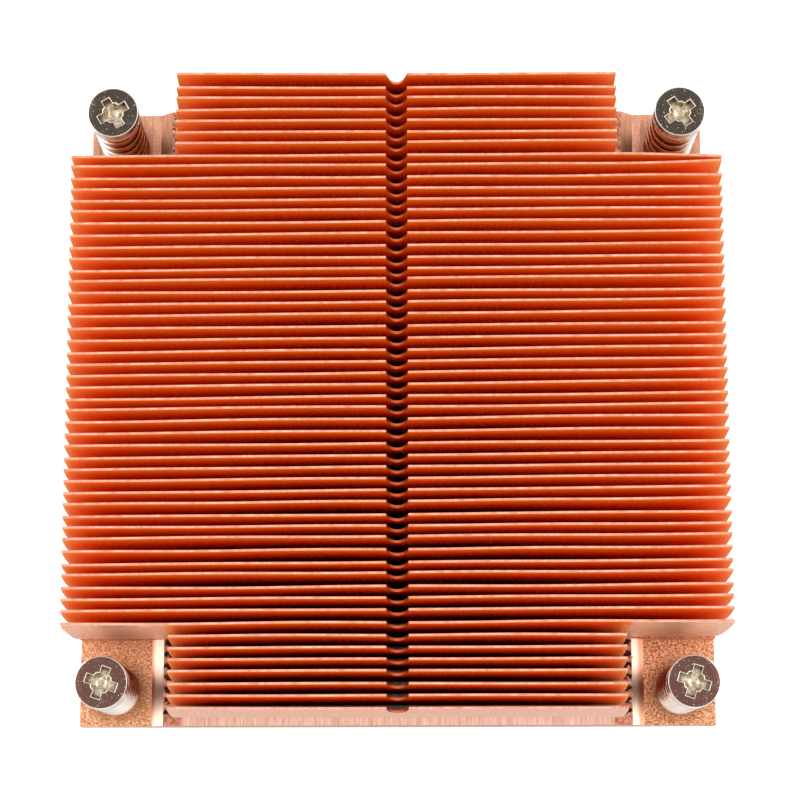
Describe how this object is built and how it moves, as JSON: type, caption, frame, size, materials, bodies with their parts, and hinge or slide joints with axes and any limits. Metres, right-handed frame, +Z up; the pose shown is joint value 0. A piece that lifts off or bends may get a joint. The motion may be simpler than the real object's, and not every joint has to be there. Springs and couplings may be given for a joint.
{
  "type": "passive server cpu heatsink",
  "caption": "Low passive copper heatsink with thin skived fins across a square base, corner pads and captive spring screws for a square bolt pattern.",
  "frame": {"origin": "centre of the flat underside of the base, the face that meets the processor's lid", "axes": "+Z up out of the fins, -Y towards the front row of fins that the picture shows nearest, +X right along the fins"},
  "size_m": [0.09, 0.09, 0.0318],
  "materials": {
    "bare_copper": "bare copper, satin fin faces, bright cut edges, blasted corner pads",
    "nickel_plated_steel": "nickel plated, polished, with fine scratches",
    "spring_steel": "bright nickel plated spring wire",
    "ring_steel": "dull stamped spring steel"
  },
  "bodies": {
    "heatsink": {"heatsink_body": "bare_copper", "spring_back_left": "spring_steel", "spring_back_right": "spring_steel", "spring_front_left": "spring_steel", "spring_front_right": "spring_steel"},
    "ring_back_left": {"retaining_ring_back_left": "ring_steel"},
    "screw_back_left": {"captive_screw_back_left": "nickel_plated_steel"},
    "ring_back_right": {"retaining_ring_back_right": "ring_steel"},
    "screw_back_right": {"captive_screw_back_right": "nickel_plated_steel"},
    "ring_front_left": {"retaining_ring_front_left": "ring_steel"},
    "screw_front_left": {"captive_screw_front_left": "nickel_plated_steel"},
    "ring_front_right": {"retaining_ring_front_right": "ring_steel"},
    "screw_front_right": {"captive_screw_front_right": "nickel_plated_steel"}
  },
  "joints": [
    {"name": "screw_press_back_left", "type": "slide", "parent": "heatsink", "child": "ring_back_left", "axis": [0, 0, -1], "range_m": [0, 0.005], "stiffness_N_per_m": 3500, "springref_m": -0.0042, "deforming": ["spring_back_left"]},
    {"name": "screw_turn_back_left", "type": "hinge", "parent": "ring_back_left", "child": "screw_back_left", "pos_m": [-0.04, 0.04, 0], "axis": [0, 0, 1], "continuous": true},
    {"name": "screw_press_back_right", "type": "slide", "parent": "heatsink", "child": "ring_back_right", "axis": [0, 0, -1], "range_m": [0, 0.005], "stiffness_N_per_m": 3500, "springref_m": -0.0042, "deforming": ["spring_back_right"]},
    {"name": "screw_turn_back_right", "type": "hinge", "parent": "ring_back_right", "child": "screw_back_right", "pos_m": [0.04, 0.04, 0], "axis": [0, 0, 1], "continuous": true},
    {"name": "screw_press_front_left", "type": "slide", "parent": "heatsink", "child": "ring_front_left", "axis": [0, 0, -1], "range_m": [0, 0.005], "stiffness_N_per_m": 3500, "springref_m": -0.0042, "deforming": ["spring_front_left"]},
    {"name": "screw_turn_front_left", "type": "hinge", "parent": "ring_front_left", "child": "screw_front_left", "pos_m": [-0.04, -0.04, 0], "axis": [0, 0, 1], "continuous": true},
    {"name": "screw_press_front_right", "type": "slide", "parent": "heatsink", "child": "ring_front_right", "axis": [0, 0, -1], "range_m": [0, 0.005], "stiffness_N_per_m": 3500, "springref_m": -0.0042, "deforming": ["spring_front_right"]},
    {"name": "screw_turn_front_right", "type": "hinge", "parent": "ring_front_right", "child": "screw_front_right", "pos_m": [0.04, -0.04, 0], "axis": [0, 0, 1], "continuous": true}
  ]
}
